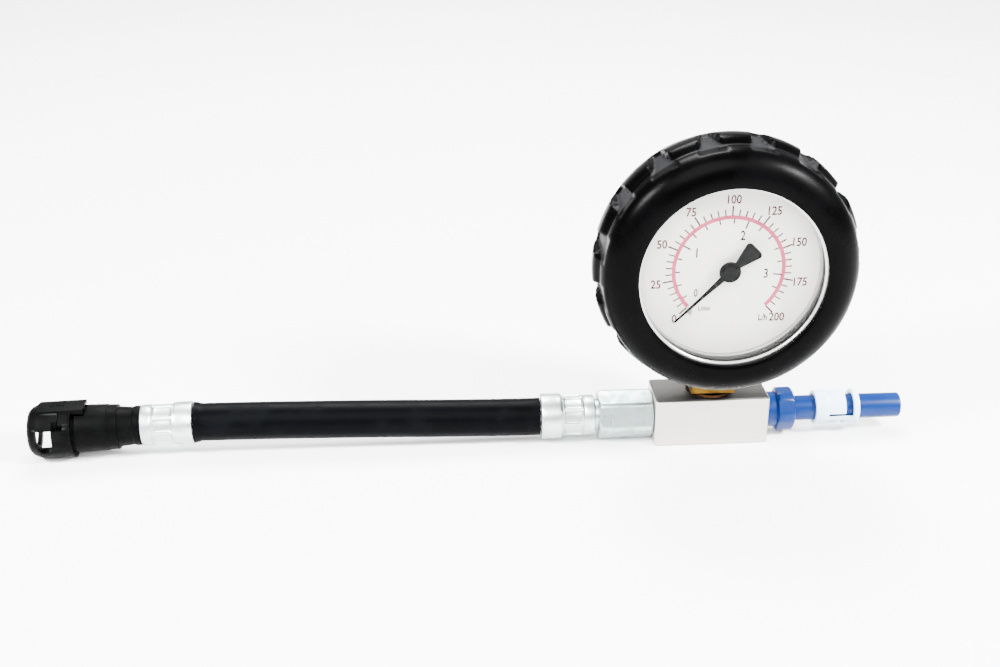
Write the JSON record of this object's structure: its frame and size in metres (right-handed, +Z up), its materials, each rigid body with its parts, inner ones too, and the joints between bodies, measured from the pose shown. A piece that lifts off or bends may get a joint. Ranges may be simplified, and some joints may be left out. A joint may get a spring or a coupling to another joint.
{
  "type": "fuel flow meter",
  "caption": "In-line fuel flow meter: booted dial gauge on a square block, with a short hose and a female quick connector on one side and a male spigot on the other.",
  "frame": {"origin": "centre of the block's flat underside, below the gauge's stem", "axes": "+Z up along the gauge's stem, +X along the flow towards the outlet spigot, -Y the side that the dial faces"},
  "size_m": [0.2748, 0.0375, 0.1037],
  "materials": {
    "block_aluminium": "machined",
    "brass": "machined",
    "socket_brass": "machined",
    "copper": "machined",
    "zinc": "zinc plated",
    "ferrule_zinc": "zinc plated",
    "hose_rubber": "satin",
    "black_nylon": "moulded",
    "button_nylon": "moulded",
    "seal_rubber": "matt",
    "blue_nylon": "moulded",
    "spigot_nylon": "moulded",
    "clip_white": "translucent",
    "case_steel": "black enamel",
    "screw_steel": "bright",
    "bezel_steel": "bright",
    "window_clear": "clear",
    "dial_white": "matt enamel",
    "pointer_grey": "matt enamel",
    "boot_rubber": "satin"
  },
  "bodies": {
    "meter": {"block": "block_aluminium", "jet": "brass", "stem_washer": "copper", "hose_nipple": "zinc", "block_ferrule": "ferrule_zinc", "hose": "hose_rubber", "inlet_ferrule": "ferrule_zinc", "connector_body": "black_nylon", "seal_ring_1": "seal_rubber", "seal_ring_2": "seal_rubber", "seal_spacer": "blue_nylon", "pin_guide_bush": "blue_nylon", "outlet_spigot": "spigot_nylon", "spigot_clip": "clip_white", "gauge_socket": "socket_brass", "gauge_case": "case_steel", "blowout_plug": "seal_rubber", "case_screw_left": "screw_steel", "case_screw_right": "screw_steel", "bezel": "bezel_steel", "window_gasket": "seal_rubber", "window": "window_clear", "dial_ring": "bezel_steel", "dial": "dial_white", "stop_pin": "screw_steel", "rubber_boot": "boot_rubber", "pressure_tube": "brass", "hairspring": "screw_steel", "movement_back_plate": "brass", "movement_front_plate": "brass", "movement_pillar_1": "brass", "movement_pillar_2": "brass", "movement_screw_left": "screw_steel", "movement_screw_right": "screw_steel"},
    "sector": {"sector_gear": "brass"},
    "link_bar": {"link": "brass"},
    "tip": {"tube_tip": "brass"},
    "indicator": {"pointer": "pointer_grey", "pinion": "brass"},
    "button": {"release_button": "button_nylon"}
  },
  "joints": [
    {"name": "sector_turn", "type": "hinge", "parent": "meter", "child": "sector", "pos_m": [-0.0001, -0.0057, 0.0491], "axis": [-0.0175, -0.9998, 0], "range_deg": [0, 33.75], "stiffness_Nm_per_rad": 0.01, "deforming": ["pressure_tube"]},
    {"name": "link_pivot", "type": "hinge", "parent": "sector", "child": "link_bar", "pos_m": [0.00102, -0.00687, 0.04423], "axis": [-0.0175, -0.9998, 0], "range_deg": [-33.75, 0]},
    {"name": "tip_travel", "type": "slide", "parent": "meter", "child": "tip", "axis": [0.8659, -0.0151, 0.5], "range_m": [0, 0.00291]},
    {"name": "pointer_turn", "type": "hinge", "parent": "meter", "child": "indicator", "pos_m": [-0.0001, -0.0057, 0.0635], "axis": [0.0175, 0.9998, 0], "range_deg": [0, 270], "deforming": ["hairspring"]},
    {"name": "release_press", "type": "slide", "parent": "meter", "child": "button", "axis": [0.0262, 0, -0.9997], "range_m": [0, 0.001], "stiffness_N_per_m": 800}
  ],
  "couplings": [
    {"joint": "pointer_turn", "follows": "sector_turn", "ratio": 8},
    {"joint": "link_pivot", "follows": "sector_turn", "ratio": -1},
    {"joint": "tip_travel", "follows": "sector_turn", "m_per_rad": 0.004928}
  ]
}
